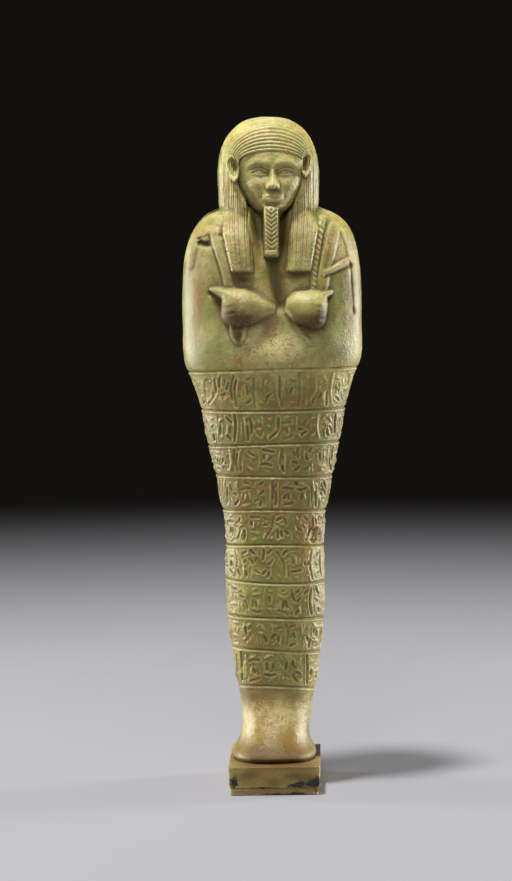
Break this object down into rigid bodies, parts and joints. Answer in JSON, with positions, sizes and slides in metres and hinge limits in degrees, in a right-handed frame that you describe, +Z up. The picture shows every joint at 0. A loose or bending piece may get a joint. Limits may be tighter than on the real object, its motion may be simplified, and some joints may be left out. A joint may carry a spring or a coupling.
{
  "type": "ushabti figurine",
  "caption": "Mummy-shaped glazed faience ushabti with striped wig, plaited beard, crossed hands, registers of incised signs, back pillar and low plinth.",
  "frame": {"origin": "middle of the plinth's underside", "axes": "+Z up along the figure's height, the figure faces -Y, +X towards the figure's left hand"},
  "size_m": [0.0508, 0.036, 0.19],
  "materials": {
    "glazed_faience": "pale olive-green alkaline glaze over a sandy body, worn and stained brown, soft gloss on the high points"
  },
  "bodies": {
    "root": {"ushabti_figure": "glazed_faience"}
  },
  "joints": []
}
